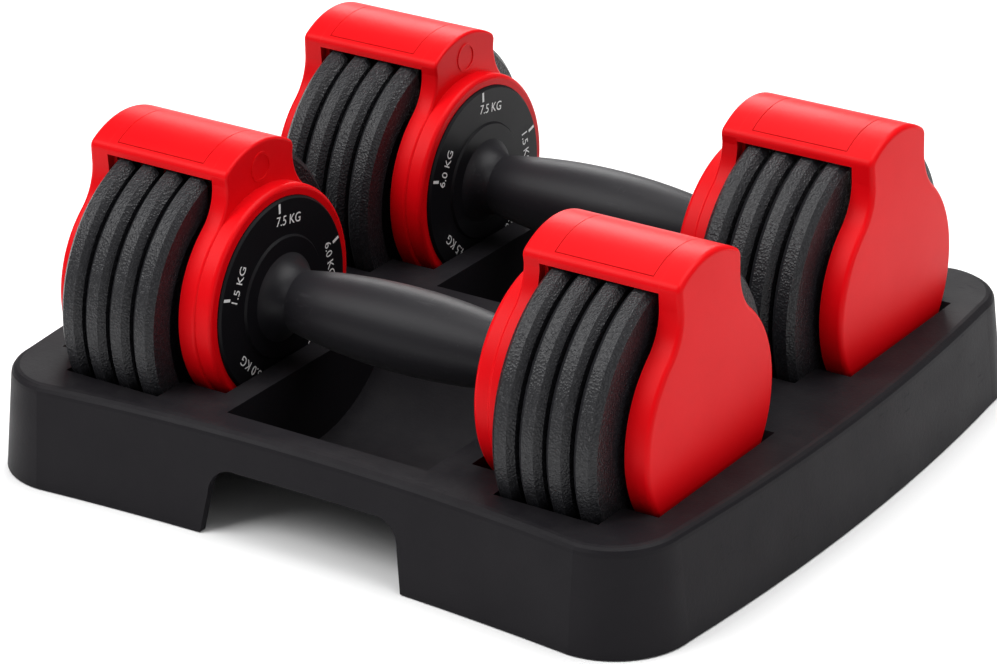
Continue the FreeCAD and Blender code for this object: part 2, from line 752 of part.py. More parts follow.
def make_core_rod(label):
    body = new_body(label)
    half = s.bridge_end + s.cap_web + s.nut_height + 1
    turn(body, Sketch(body, "XY_Plane").box((-half, ZERO), (half, s.rod_radius)))
    return body


def make_bushes(label):
    """Two flanged bushes in the inner housings and two thrust washers at the tube's ends."""
    body = new_body(label)
    bore = s.tube_radius + s.running_gap
    wall = s.tube_radius + s.bush_wall
    flange = s.dial_face + s.dial_thickness + s.slip_gap
    step = flange + s.flange_thickness
    tube_end = STACK_END + s.drum_inset * 4
    rings = Sketch(body, "XY_Plane")
    for side in (-1, 1):
        bush = [
            (flange, bore),
            (s.housing_back, bore),
            (s.housing_back, wall),
            (step, wall),
            (step, wall + s.bush_flange),
            (flange, wall + s.bush_flange),
        ]
        washer = [
            (tube_end + s.slip_gap, s.rod_radius),
            (s.bridge_end, s.rod_radius),
            (s.bridge_end, s.tube_radius),
            (tube_end + s.slip_gap, s.tube_radius),
        ]
        for ring in (bush, washer):
            rings.outline(*(ring if side > 0 else [(-x, r) for x, r in reversed(ring)]))
    turn(body, rings)
    return body


def make_rod_nuts(label):
    body = new_body(label)
    corner = s.nut_width / math.sqrt(3)
    start = s.bridge_end + s.cap_web
    for low in (start, -start - s.nut_height):
        face = Sketch(body, "YZ_Plane", lift=low)
        half = s.nut_width / 2
        face.outline(
            (corner, ZERO), (corner / 2, half), (-corner / 2, half),
            (-corner, ZERO), (-corner / 2, -half), (corner / 2, -half),
        )
        face.circle((ZERO, ZERO), s.rod_radius)
        pad(body, face, s.nut_height)
    return body


def make_housing_screws(label):
    """Screws through the bridge lugs, into the inner housings and into the end caps."""
    screws = []
    inner_head = s.housing_back + s.lug_thickness
    outer_seat = s.bridge_end - s.lug_thickness
    length = s.lug_thickness + s.screw_bite
    spans = (
        (inner_head, s.housing_back - s.screw_bite),
        (outer_seat - s.screw_head_height, outer_seat),
    )
    for side in (-1, 1):
        for end, (head, shank) in enumerate(spans):
            head_low = head if side > 0 else -(head + s.screw_head_height)
            shank_low = shank if side > 0 else -(shank + length)
            for spot, out in enumerate(SCREW_SPOTS):
                name = f"{label}_{'left' if side < 0 else 'right'}_{end}_{spot}"
                cap = round_bar(f"{name}_head", head_low, s.screw_head_height, s.screw_head_radius, out, s.screw_level)
                bar = round_bar(f"{name}_shank", shank_low, length, s.screw_radius, out, s.screw_level)
                screws += [cap, bar]
    whole = fuse(label, screws)
    whole.Label = label
    return whole


def make_lock_slider(label):
    """Stem that stands on the tray, a tooth that drops into the dial's ring and a retaining head."""
    body = new_body(label)
    start = lock_start()
    tooth_bottom = s.notch_ring_inner - s.slip_gap
    head_top = tooth_bottom - s.lock_tooth_height
    tray_level = chord_height(s.housing_bulge + s.well_gap, s.lock_width / 2) + s.housing_drop
    stem = Sketch(body, "YZ_Plane", lift=start)
    stem.box((-s.lock_width / 2, s.slip_gap - tray_level), (s.lock_width / 2, -head_top))
    pad(body, stem, s.lock_thickness)
    head = Sketch(body, "YZ_Plane", lift=start)
    head.box((-s.lock_head_width / 2, -head_top - s.lock_head_height), (s.lock_head_width / 2, -head_top))
    pad(body, head, s.lock_thickness)
    reach = s.notch_ring_depth - s.slip_gap
    tooth = Sketch(body, "YZ_Plane", lift=start - reach)
    tooth.box((-s.lock_tooth_width / 2, -tooth_bottom), (s.lock_tooth_width / 2, -head_top))
    pad(body, tooth, reach + 1)
    return body


def make_lock_spring(label):
    """Compression spring between the housing's ledge and the lock slider's head."""
    bottom = s.notch_ring_inner - s.slip_gap - s.lock_tooth_height
    length = bottom - s.spring_top - s.spring_wire * 2 - 0.1
    helix = doc.addObject("Part::Helix", f"{label}_path")
    bind(helix, Pitch=length / s.spring_turns, Height=length, Radius=s.spring_radius)
    wire = doc.addObject("Part::Circle", f"{label}_wire")
    wire.Placement = FreeCAD.Placement(Vector(), FreeCAD.Rotation(Vector(1, 0, 0), 90))
    bind(wire, Radius=s.spring_wire, Placement__Base__x=s.spring_radius)
    coil = doc.addObject("Part::Sweep", label)
    coil.Label = label
    coil.Sections = [wire]
    coil.Spine = (helix, ["Edge1"])
    coil.Solid = True
    coil.Frenet = True
    return coil


def place_spring(coil, dumbbell):
    """The spring stands upright in the right-hand head, so it is placed by itself."""
    along = s.cup_floor - s.slip_gap - s.spring_radius - s.spring_wire
    bottom = s.notch_ring_inner - s.slip_gap - s.lock_tooth_height - s.spring_wire - 0.05
    bind(coil, Placement__Base__x=along * (-dumbbell.side))
    bind(coil, Placement__Base__y=s.axis_spacing / 2 * dumbbell.side, Placement__Base__z=s.axis_height - bottom)


# ---------------------------------------------------------------- tray

class Well:
    """One stretch of a head's well: a round trough from start to end, about a centre below the axis."""

    def __init__(self, start, end, radius, drop):
        self.start = start
        self.end = end
        self.radius = radius
        self.drop = drop

    def bar(self, name, sign, side, grow=ZERO, radius=None):
        """The stretch as a round bar in the left or right head, made larger by grow."""
        start = self.start - grow
        length = self.end - self.start + grow * 2
        low = start if side > 0 else -(start + length)
        out = s.axis_spacing / 2 * sign
        return round_bar(name, low, length, (radius or self.radius) + grow, out, s.axis_height - self.drop)


def tray_outline(sketch, inset):
    """Plan of the tray: bowed ends, long sides drawn in at the middle, round corners."""
    draw_in = s.side_waist + inset * s.waist_gain
    half_width = s.tray_width / 2 - inset
    half_length = s.tray_length / 2 - s.end_bow - inset
    corner = s.tray_corner - inset
    end_half = half_width - corner
    side_half = half_length - corner
    bow = (end_half * end_half + s.end_bow * s.end_bow) / (s.end_bow * 2)
    waist = (side_half * side_half + draw_in * draw_in) / (draw_in * 2)
    waist_line = half_width - draw_in
    return sketch.outline(
        (half_length, -end_half), Arc(bow),
        (half_length + s.end_bow, ZERO), Arc(bow),
        (half_length, end_half), Arc(corner),
        (side_half, half_width), Arc(waist, hollow=True),
        (ZERO, waist_line), Arc(waist, hollow=True),
        (-side_half, half_width), Arc(corner),
        (-half_length, end_half), Arc(bow),
        (-half_length - s.end_bow, ZERO), Arc(bow),
        (-half_length, -end_half), Arc(corner),
        (-side_half, -half_width), Arc(waist, hollow=True),
        (ZERO, -waist_line), Arc(waist, hollow=True),
        (side_half, -half_width), Arc(corner),
    )


def lofted_block(name, sections):
    """A block with the tray's plan at every level; each section is a level and an inset."""
    body = new_body(name)
    plans = [tray_outline(Sketch(body, "XY_Plane", lift=level), inset) for level, inset in sections]
    loft = body.newObject("PartDesign::AdditiveLoft", f"{name}_loft")
    loft.Profile = plans[0].object
    loft.Sections = [(plan.object, [""]) for plan in plans[1:]]
    loft.Ruled = True
    finish_feature(body, loft, grows=True)
    return body


def shell_sections():
    """The outside: walls that lean in, then a lip rounded in equal steps up to the deck."""
    shoulder = s.foot_stand + s.tray_height - s.tray_lip
    sections = [(s.foot_stand, ZERO)]
    for step in range(LIP_STEPS + 1):
        angle = math.radians(90 * step / LIP_STEPS)
        inset = s.tray_draft + s.tray_lip * (1 - math.cos(angle))
        sections.append((shoulder + s.tray_lip * math.sin(angle), inset))
    return sections


def make_tray(label):
    foot = s.foot_stand
    top = foot + s.tray_height
    shell = lofted_block("tray_shell", shell_sections())
    ceiling = top - s.tray_wall
    room = lofted_block("tray_room", [(foot - 1, s.tray_wall), (ceiling, s.tray_wall + s.tray_draft)])
    ends = {
        "inner": Well(s.well_start, s.plate_start - s.slip_gap, s.housing_bulge + s.well_gap, s.housing_drop),
        "plates": Well(s.plate_start - s.slip_gap, STACK_END + s.slip_gap,
                       s.plate_radius + s.plate_well_gap, s.plate_drop),
        "outer": Well(STACK_END + s.slip_gap, s.cap_end + s.well_gap, s.cap_bulge + s.well_gap, s.cap_drop),
    }
    ribs = []
    for number in range(PLATES - 1):
        start = plate_face(number) + s.plate_thickness + s.slip_gap
        ribs.append(Well(start, start + s.plate_pitch - s.plate_thickness - s.slip_gap * 2,
                         s.plate_radius + s.plate_well_gap - s.rib_depth, s.plate_drop))
    inner_seat = lock_start() + s.lock_thickness + s.slip_gap
    outer_seat = s.bridge_end + s.seat_width
    seats = [
        Well(inner_seat, inner_seat + s.seat_width, s.housing_bulge + s.slip_gap, s.housing_drop),
        Well(outer_seat, outer_seat + s.seat_width, s.cap_bulge + s.slip_gap, s.cap_drop),
    ]
    walls = []
    hollows = []
    inserts = []
    for sign, row in ((-1, "front"), (1, "back")):
        for side, hand in ((-1, "left"), (1, "right")):
            for name, well in ends.items():
                spot = f"{row}_{hand}_{name}"
                walls.append(well.bar(f"wall_{spot}", sign, side, s.well_wall))
                hollows.append(well.bar(f"well_{spot}", sign, side))
            for number, rib in enumerate(ribs):
                base = s.plate_radius + s.plate_well_gap + 1
                spot = f"{row}_{hand}_{number}"
                inserts.append(cut(f"rib_{spot}", rib.bar(f"rib_outside_{spot}", sign, side, radius=base),
                                   rib.bar(f"rib_inside_{spot}", sign, side)))
            for number, seat in enumerate(seats):
                base = seat.radius + s.well_gap + 0.7
                spot = f"{row}_{hand}_{number}"
                inserts.append(cut(f"seat_{spot}", seat.bar(f"seat_outside_{spot}", sign, side, radius=base),
                                   seat.bar(f"seat_inside_{spot}", sign, side)))
        walls.append(trough(f"trough_wall_{row}", sign, s.tray_wall))
        hollows.append(trough(f"trough_{row}", sign))
    feet = foot_spots()
    for number, spot in enumerate(feet):
        walls.append(upright_bar(f"foot_boss_{number}", spot, foot, s.tray_height, s.foot_radius + s.tray_wall))
        hollows.append(upright_bar(f"foot_seat_{number}", spot, ZERO, s.foot_height, s.foot_radius))
    underside = cut("tray_underside", room, fuse("tray_walls", walls))
    openings = fuse("tray_openings", hollows + [underside] + [handhold()])
    slab = block("rib_slab", (-s.tray_length / 2, -s.tray_width / 2, foot),
                 (s.tray_length / 2, s.tray_width / 2, s.rib_top))
    low_inserts = doc.addObject("Part::Common", "tray_inserts")
    low_inserts.Base = fuse("tray_ribs_and_seats", inserts)
    low_inserts.Tool = slab
    whole = fuse(label, [cut("tray_opened", shell, openings), low_inserts])
    whole.Label = label
    return whole


def trough(name, sign, grow=ZERO):
    """Round trough for the fingers under a grip, larger by grow."""
    half = s.pocket_half_length + grow
    return round_bar(name, -half, half * 2, s.trough_radius + grow, s.axis_spacing / 2 * sign, s.axis_height)


def upright_bar(name, spot, bottom, height, radius):
    bar = doc.addObject("Part::Cylinder", name)
    bind(bar, Radius=radius, Height=height, Placement__Base__x=spot[0], Placement__Base__y=spot[1])
    bind(bar, Placement__Base__z=bottom)
    return bar


def foot_spots():
    along = s.tray_length / 2 - s.foot_inset
    across = s.tray_width / 2 - s.foot_inset
    return [(x, y) for x in (-along, along) for y in (-across, across)]


def handhold():
    """Hand cut-outs in the front and back walls, wider at the foot."""
    body = new_body("handholds")
    wide = s.handhold_half_width
    narrow = wide - s.handhold_taper
    top = s.handhold_height
    shoulder = top - s.handhold_corner
    lean = s.handhold_taper * (shoulder + 1) / (top + 1)
    opening = Sketch(body, "XZ_Plane", lift=-s.tray_width / 2).outline(
        (-wide, as_size(-1)), (wide, as_size(-1)),
        (wide - lean, shoulder), Arc(s.handhold_corner),
        (narrow - s.handhold_corner, top),
        (s.handhold_corner - narrow, top), Arc(s.handhold_corner),
        (lean - wide, shoulder),
    )
    pad(body, opening, s.tray_width)
    core = Sketch(body, "XY_Plane", lift=as_size(-2))
    lean = s.tray_draft * (s.waist_gain + 1)
    inner = s.tray_width / 2 - s.side_waist - lean - s.tray_wall * 2
    core.box((-wide - 1, -inner), (wide + 1, inner))
    pocket(body, core, top + 4)
    return body


def make_tray_feet(label):
    pads = [upright_bar(f"{label}_{number}", spot, ZERO, s.foot_height, s.foot_radius)
            for number, spot in enumerate(foot_spots())]
    whole = fuse(label, pads)
    whole.Label = label
    return whole


# ---------------------------------------------------------------- the set

class Dumbbell:
    """Where one dumbbell stands; the one at the back is turned end for end."""

    def __init__(self, name, side):
        self.name = name
        self.side = side
        self.turned = side > 0

    def head_names(self):
        """The end that is drawn towards +X, then the other one, named as seen from the front."""
        return ("left", "right") if self.turned else ("right", "left")

    def add(self, nodes, thing, extra_turn=False):
        place(thing, self, self.turned != extra_turn)
        nodes.append(thing)


def build_dumbbell(dumbbell, nodes):
    name = dumbbell.name
    dumbbell.add(nodes, make_grip(f"{name}_grip"))
    dumbbell.add(nodes, make_handle_tube(f"{name}_handle_tube"))
    dumbbell.add(nodes, make_core_rod(f"{name}_core_rod"))
    dumbbell.add(nodes, make_bushes(f"{name}_bushes"))
    dumbbell.add(nodes, make_rod_nuts(f"{name}_rod_nuts"))
    dumbbell.add(nodes, make_housing_screws(f"{name}_housing_screws"))
    dumbbell.add(nodes, make_lock_slider(f"{name}_lock_slider"))
    for head, side in zip(dumbbell.head_names(), (1, -1)):
        end = f"{name}_{head}"
        away = side < 0
        dumbbell.add(nodes, make_dial(f"{end}_dial", side))
        dumbbell.add(nodes, make_selector_drum(f"{end}_selector_drum", side))
        dumbbell.add(nodes, make_inner_housing(f"{end}_inner_housing"), away)
        dumbbell.add(nodes, make_bridge(f"{end}_bridge"), away)
        dumbbell.add(nodes, make_top_panel(f"{end}_top_panel"), away)
        dumbbell.add(nodes, make_end_cap(f"{end}_end_cap"), away)
        for number in range(PLATES):
            dumbbell.add(nodes, make_plate(f"{end}_plate_{number + 1}", number), away)
    spring = make_lock_spring(f"{name}_lock_spring")
    place_spring(spring, dumbbell)
    nodes.append(spring)


def check_and_write(nodes):
    """See that every object came out whole, then write each piece to its own file."""
    for thing in doc.Objects:
        if "Invalid" in thing.State or "Error" in thing.State:
            raise RuntimeError(f"{thing.Label} failed: {thing.State}")
    os.makedirs("parts", exist_ok=True)
    for node in nodes:
        shape = node.Shape
        if shape.isNull() or not shape.isValid() or not shape.Solids:
            raise RuntimeError(f"{node.Label} has no sound shape")
    for node in nodes:
        node.Shape.exportStep(f"parts/{node.Label}.step")
        print(f"{node.Label}: {len(node.Shape.Solids)} solids, {node.Shape.Volume / 1000:.1f} cm3")


def main():
    nodes = []
    for dumbbell in (Dumbbell("front", -1), Dumbbell("back", 1)):
        build_dumbbell(dumbbell, nodes)
    nodes.append(make_tray("tray"))
    nodes.append(make_tray_feet("tray_feet"))
    doc.recompute()
    check_and_write(nodes)


main()
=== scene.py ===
import json
import logging
import math
from dataclasses import dataclass, field
from enum import Enum
from typing import Iterable, Sequence

import bpy
from mathutils import Matrix, Vector


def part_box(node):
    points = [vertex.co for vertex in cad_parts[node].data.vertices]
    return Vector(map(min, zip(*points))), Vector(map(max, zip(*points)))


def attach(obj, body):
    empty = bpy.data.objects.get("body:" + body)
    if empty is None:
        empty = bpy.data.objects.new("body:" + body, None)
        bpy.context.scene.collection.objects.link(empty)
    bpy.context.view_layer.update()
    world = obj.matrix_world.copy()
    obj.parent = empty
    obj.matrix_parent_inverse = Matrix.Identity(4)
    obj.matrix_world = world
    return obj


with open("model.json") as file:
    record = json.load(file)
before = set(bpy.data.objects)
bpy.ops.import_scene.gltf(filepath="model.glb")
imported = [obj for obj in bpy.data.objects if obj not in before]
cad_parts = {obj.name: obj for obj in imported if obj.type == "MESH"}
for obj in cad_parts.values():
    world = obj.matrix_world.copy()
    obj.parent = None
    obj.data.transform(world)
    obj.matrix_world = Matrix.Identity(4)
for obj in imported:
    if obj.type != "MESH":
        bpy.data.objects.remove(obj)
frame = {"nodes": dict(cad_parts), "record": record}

log = logging.getLogger("dumbbell_set")

Colour = tuple[float, float, float]
Socket = bpy.types.NodeSocket

MM = 0.001


# ---------------------------------------------------------------- wiring shader nodes

class Graph:
    """A shader node tree while it is being wired."""

    def __init__(self, tree: bpy.types.NodeTree) -> None:
        """Keep the tree.

        Args:
            tree: the material's or group's node tree.
        """
        self.tree = tree

    def node(self, kind: str, **settings: object) -> bpy.types.Node:
        """Add a node.

        Args:
            kind: the node's type, without the ShaderNode prefix.
            settings: properties of the node.

        Returns:
            The new node.
        """
        made = self.tree.nodes.new(f"ShaderNode{kind}")
        for name, value in settings.items():
            setattr(made, name, value)
        return made

    def put(self, socket: Socket, value: object) -> None:
        """Link a socket to another one, or set it to a constant.

        Args:
            socket: the input.
            value: an output socket, a number or a colour.
        """
        if isinstance(value, bpy.types.NodeSocket):
            self.tree.links.new(value, socket)
        elif isinstance(value, tuple) and len(value) == 3 and len(socket.default_value) == 4:
            socket.default_value = (*value, 1.0)
        else:
            socket.default_value = value

    def math(self, operation: str, first: object, second: object = 0.0) -> Socket:
        """Combine two values.

        Args:
            operation: the Math node's operation.
            first: a socket or number.
            second: a socket or number.

        Returns:
            The result.
        """
        made = self.node("Math", operation=operation)
        self.put(made.inputs[0], first)
        self.put(made.inputs[1], second)
        return made.outputs[0]

    def spread(self, value: Socket, low: object, high: object,
               to_low: object = 0.0, to_high: object = 1.0) -> Socket:
        """Map a value from one range to another, clamped.

        Args:
            value: the input.
            low: start of its range.
            high: end of its range.
            to_low: what the start becomes.
            to_high: what the end becomes.

        Returns:
            The mapped value.
        """
        made = self.node("MapRange", clamp=True)
        for number, part in enumerate((value, low, high, to_low, to_high)):
            self.put(made.inputs[number], part)
        return made.outputs[0]

    def blend(self, factor: object, first: object, second: object) -> Socket:
        """Mix two colours.

        Args:
            factor: how much of the second.
            first: a colour or socket.
            second: a colour or socket.

        Returns:
            The mixed colour.
        """
        made = self.node("Mix", data_type="RGBA")
        self.put(made.inputs["Factor"], factor)
        self.put(made.inputs[6], first)
        self.put(made.inputs[7], second)
        return made.outputs[2]

    def place(self) -> Socket:
        """Give the surface point in the piece's own space, in metres."""
        return self.node("TexCoord").outputs["Object"]

    def noise(self, where: Socket, scale: object, detail: float = 3.0, roughness: float = 0.5) -> Socket:
        """Add a noise texture.

        Args:
            where: the point.
            scale: cells per metre.
            detail: octaves.
            roughness: how strong the fine octaves are.

        Returns:
            The noise value.
        """
        made = self.node("TexNoise")
        self.put(made.inputs["Vector"], where)
        self.put(made.inputs["Scale"], scale)
        self.put(made.inputs["Detail"], detail)
        self.put(made.inputs["Roughness"], roughness)
        return made.outputs[0]

    def stretch(self, where: Socket, factors: Sequence[float]) -> Socket:
        """Scale a point along the axes.

        Args:
            where: the point.
            factors: one factor for each axis.

        Returns:
            The scaled point.
        """
        made = self.node("VectorMath", operation="MULTIPLY")
        self.put(made.inputs[0], where)
        made.inputs[1].default_value = factors
        return made.outputs[0]


class Effect(Enum):
    """Surface effects that several finishes share, each one a node group."""

    # a painted highlight along edges
    PAINTED_EDGE_HIGHLIGHT = "painted_edge_highlight"
    MOULD_GRAIN = "mould_grain"
    STIPPLE = "stipple"
    MOTTLE = "mottle"
    SCUFFS = "scuffs"
    SETTLED_DUST = "settled_dust"
    DRAWN_LINES = "drawn_lines"


class EffectGroups:
    """Builds each shared effect once and places it in materials."""

    INPUTS = {
        # the painted edge highlight: its radius, amount and breakup
        Effect.PAINTED_EDGE_HIGHLIGHT: {"Radius": 0.5 * MM, "Amount": 1.0, "Breakup": 400.0},
        Effect.MOULD_GRAIN: {"Scale": 2500.0, "Softness": 0.5},
        Effect.STIPPLE: {"Scale": 900.0, "Depth": 1.0},
        Effect.MOTTLE: {"Scale": 18.0, "Contrast": 0.5},
        Effect.SCUFFS: {"Scale": 60.0, "Amount": 0.3},
        Effect.SETTLED_DUST: {"Amount": 0.3},
        Effect.DRAWN_LINES: {"Scale": 900.0},
    }
    OUTPUT = {
        Effect.PAINTED_EDGE_HIGHLIGHT: "Mask",
        Effect.MOULD_GRAIN: "Height",
        Effect.STIPPLE: "Height",
        Effect.MOTTLE: "Value",
        Effect.SCUFFS: "Mask",
        Effect.SETTLED_DUST: "Mask",
        Effect.DRAWN_LINES: "Height",
    }

    def __init__(self) -> None:
        """Start with no group built."""
        self.built: dict[Effect, bpy.types.NodeTree] = {}

    def group(self, effect: Effect) -> bpy.types.NodeTree:
        """Give the node group of an effect, building it the first time.

        Args:
            effect: which effect.

        Returns:
            Its node group.
        """
        if effect not in self.built:
            tree = bpy.data.node_groups.new(effect.value, "ShaderNodeTree")
            for name, value in self.INPUTS[effect].items():
                made = tree.interface.new_socket(name, in_out="INPUT", socket_type="NodeSocketFloat")
                made.default_value = value
            tree.interface.new_socket(self.OUTPUT[effect], in_out="OUTPUT", socket_type="NodeSocketFloat")
            start = tree.nodes.new("NodeGroupInput")
            end = tree.nodes.new("NodeGroupOutput")
            result = getattr(self, f"wire_{effect.value}")(Graph(tree), start)
            tree.links.new(result, end.inputs[0])
            self.built[effect] = tree
        return self.built[effect]

    def use(self, graph: Graph, effect: Effect, **values: float) -> Socket:
        """Place an effect in a material.

        Args:
            graph: the material's graph.
            effect: which effect.
            values: the group's inputs that differ from its defaults.

        Returns:
            The group's output.
        """
        made = graph.node("Group", node_tree=self.group(effect))
        for name, value in values.items():
            made.inputs[name].default_value = value
        return made.outputs[0]

    @staticmethod
    def wire_painted_edge_highlight(graph: Graph, start: bpy.types.Node) -> Socket:
        """Find convex and concave edges by how far a bevelled normal leaves the true one, for a painted highlight
        along them.

        Args:
            graph: the group's graph.
            start: the group's inputs.

        Returns:
            A mask that is 1 on edges, where a highlight is painted.
        """
        bevel = graph.node("Bevel", samples=4)
        graph.put(bevel.inputs["Radius"], start.outputs["Radius"])
        dot = graph.node("VectorMath", operation="DOT_PRODUCT")
        graph.put(dot.inputs[0], bevel.outputs[0])
        graph.put(dot.inputs[1], graph.node("NewGeometry").outputs["Normal"])
        edge = graph.spread(graph.math("SUBTRACT", 1.0, dot.outputs["Value"]), 0.02, 0.25)
        patches = graph.noise(graph.place(), start.outputs["Breakup"], detail=2.0)
        broken = graph.math("MULTIPLY", edge, graph.spread(patches, 0.35, 0.65))
        return graph.math("MULTIPLY", broken, start.outputs["Amount"])

    @staticmethod
    def wire_mould_grain(graph: Graph, start: bpy.types.Node) -> Socket:
        """Fine spark-eroded grain of a moulded surface.

        Args:
            graph: the group's graph.
            start: the group's inputs.

        Returns:
            The grain's height.
        """
        where = graph.place()
        fine = graph.noise(where, start.outputs["Scale"], detail=2.0)
        broad = graph.noise(where, graph.math("MULTIPLY", start.outputs["Scale"], 0.31), detail=1.0)
        soft = graph.math("MULTIPLY", broad, start.outputs["Softness"])
        return graph.math("ADD", fine, soft)

    @staticmethod
    def wire_stipple(graph: Graph, start: bpy.types.Node) -> Socket:
        """Rounded beads of a textured coat, uneven in size.

        Args:
            graph: the group's graph.
            start: the group's inputs.

        Returns:
            The beads' height.
        """
        where = graph.place()
        beads = graph.node("TexVoronoi", feature="SMOOTH_F1")
        graph.put(beads.inputs["Vector"], where)
        graph.put(beads.inputs["Scale"], start.outputs["Scale"])
        beads.inputs["Smoothness"].default_value = 0.6
        bead = graph.spread(beads.outputs["Distance"], 0.1, 0.75, 1.0, 0.0)
        uneven = graph.noise(where, graph.math("MULTIPLY", start.outputs["Scale"], 0.45), detail=2.0)
        rough = graph.math("MULTIPLY", bead, graph.spread(uneven, 0.3, 0.7, 0.35, 1.0))
        return graph.math("MULTIPLY", rough, start.outputs["Depth"])

    @staticmethod
    def wire_mottle(graph: Graph, start: bpy.types.Node) -> Socket:
        """Slow change over a surface, as from flow in the mould or uneven handling.

        Args:
            graph: the group's graph.
            start: the group's inputs.

        Returns:
            A value about one half.
        """
        cloud = graph.noise(graph.place(), start.outputs["Scale"], detail=4.0, roughness=0.6)
        away = graph.math("MULTIPLY", graph.math("SUBTRACT", cloud, 0.5), start.outputs["Contrast"])
        return graph.math("ADD", graph.math("MULTIPLY", away, 2.0), 0.5)

    @staticmethod
    def wire_scuffs(graph: Graph, start: bpy.types.Node) -> Socket:
        """Thin rubbed lines that run in two directions.

        Args:
            graph: the group's graph.
            start: the group's inputs.

        Returns:
            A mask that is 1 in a scuff.
        """
        where = graph.place()
        lines = []
        for factors in ((0.12, 1.0, 1.4), (1.2, 0.15, 1.0)):
            thin = graph.noise(graph.stretch(where, factors), graph.math("MULTIPLY", start.outputs["Scale"], 9.0))
            patch = graph.spread(graph.noise(where, start.outputs["Scale"], detail=1.0), 0.5, 0.62)
            lines.append(graph.math("MULTIPLY", graph.spread(thin, 0.64, 0.7), patch))
        both = graph.math("MAXIMUM", lines[0], lines[1])
        return graph.math("MULTIPLY", both, start.outputs["Amount"])

    @staticmethod
    def wire_settled_dust(graph: Graph, start: bpy.types.Node) -> Socket:
        """Faint dust on faces that look up.

        Args:
            graph: the group's graph.
            start: the group's inputs.

        Returns:
            A mask that is 1 in dust.
        """
        split = graph.node("SeparateXYZ")
        graph.put(split.inputs[0], graph.node("NewGeometry").outputs["Normal"])
        level = graph.spread(split.outputs["Z"], 0.6, 1.0)
        cloud = graph.spread(graph.noise(graph.place(), 35.0, detail=6.0, roughness=0.7), 0.42, 0.7)
        return graph.math("MULTIPLY", graph.math("MULTIPLY", level, cloud), start.outputs["Amount"])

    @staticmethod
    def wire_drawn_lines(graph: Graph, start: bpy.types.Node) -> Socket:
        """Lines that a tool leaves round a turned or drawn bar.

        Args:
            graph: the group's graph.
            start: the group's inputs.

        Returns:
            The lines' height.
        """
        return graph.noise(graph.stretch(graph.place(), (1.0, 0.04, 0.04)), start.outputs["Scale"], detail=3.0)


EFFECTS = EffectGroups()


# ---------------------------------------------------------------- finishes

@dataclass(frozen=True)
class Finish:
    """What every finish has: a colour pair, a roughness range and a fine relief."""

    name: str
    colour: Colour
    shade: Colour
    smooth: float
    rough: float
    relief: float
    specular: float = 0.5

    def start(self) -> tuple[bpy.types.Material, Graph, bpy.types.Node]:
        """Make an empty material with its shader.

        Returns:
            The material, its graph and its Principled BSDF.
        """
        material = bpy.data.materials.new(self.name)
        material.use_nodes = True
        material.node_tree.nodes.clear()
        graph = Graph(material.node_tree)
        shader = graph.node("BsdfPrincipled")
        output = graph.node("OutputMaterial")
        graph.put(output.inputs["Surface"], shader.outputs["BSDF"])
        shader.inputs["Specular IOR Level"].default_value = self.specular
        return material, graph, shader

    def relieve(self, graph: Graph, shader: bpy.types.Node, height: Socket) -> None:
        """Give the surface its relief.

        Args:
            graph: the material's graph.
            shader: its Principled BSDF.
            height: the height to follow.
        """
        bump = graph.node("Bump")
        bump.inputs["Strength"].default_value = 1.0
        bump.inputs["Distance"].default_value = self.relief
        graph.put(bump.inputs["Height"], height)
        graph.put(shader.inputs["Normal"], bump.outputs["Normal"])

    def material(self) -> bpy.types.Material:
        """Build the finish's material.

        Returns:
            The finished material.
        """
        raise NotImplementedError


@dataclass(frozen=True)
class MouldedPlastic(Finish):
    """Moulded plastic: grain, mottled gloss, a painted highlight along the edges, scuffs and a breath of dust."""

    # painted highlight along the edges: its lighter colour, its strength and the edge radius
    painted_highlight_colour: Colour = (0.2, 0.2, 0.2)
    grain_scale: float = 2600.0
    grain_softness: float = 0.5
    painted_highlight_amount: float = 0.3
    painted_highlight_radius: float = 0.5 * MM
    scuffed: float = 0.25
    dust: float = 0.0
    dust_colour: Colour = (0.35, 0.33, 0.31)

    def material(self) -> bpy.types.Material:
        """Build the plastic's material.

        Returns:
            The finished material.
        """
        material, graph, shader = self.start()
        mottle = EFFECTS.use(graph, Effect.MOTTLE, Scale=22.0, Contrast=0.8)
        # mask for the painted highlight along the edges
        edge = EFFECTS.use(graph, Effect.PAINTED_EDGE_HIGHLIGHT, Radius=self.painted_highlight_radius, Amount=self.painted_highlight_amount)
        scuff = EFFECTS.use(graph, Effect.SCUFFS, Scale=55.0, Amount=self.scuffed)
        colour = graph.blend(mottle, self.colour, self.shade)
        # painted highlight: the edges blended towards a lighter colour
        colour = graph.blend(edge, colour, self.painted_highlight_colour)
        if self.dust > 0:
            dust = EFFECTS.use(graph, Effect.SETTLED_DUST, Amount=self.dust)
            colour = graph.blend(dust, colour, self.dust_colour)
        graph.put(shader.inputs["Base Color"], colour)
        sheen = graph.spread(mottle, 0.0, 1.0, self.smooth, self.rough)
        graph.put(shader.inputs["Roughness"], graph.math("ADD", sheen, graph.math("MULTIPLY", scuff, 0.3)))
        grain = EFFECTS.use(graph, Effect.MOULD_GRAIN, Scale=self.grain_scale, Softness=self.grain_softness)
        self.relieve(graph, shader, grain)
        return material


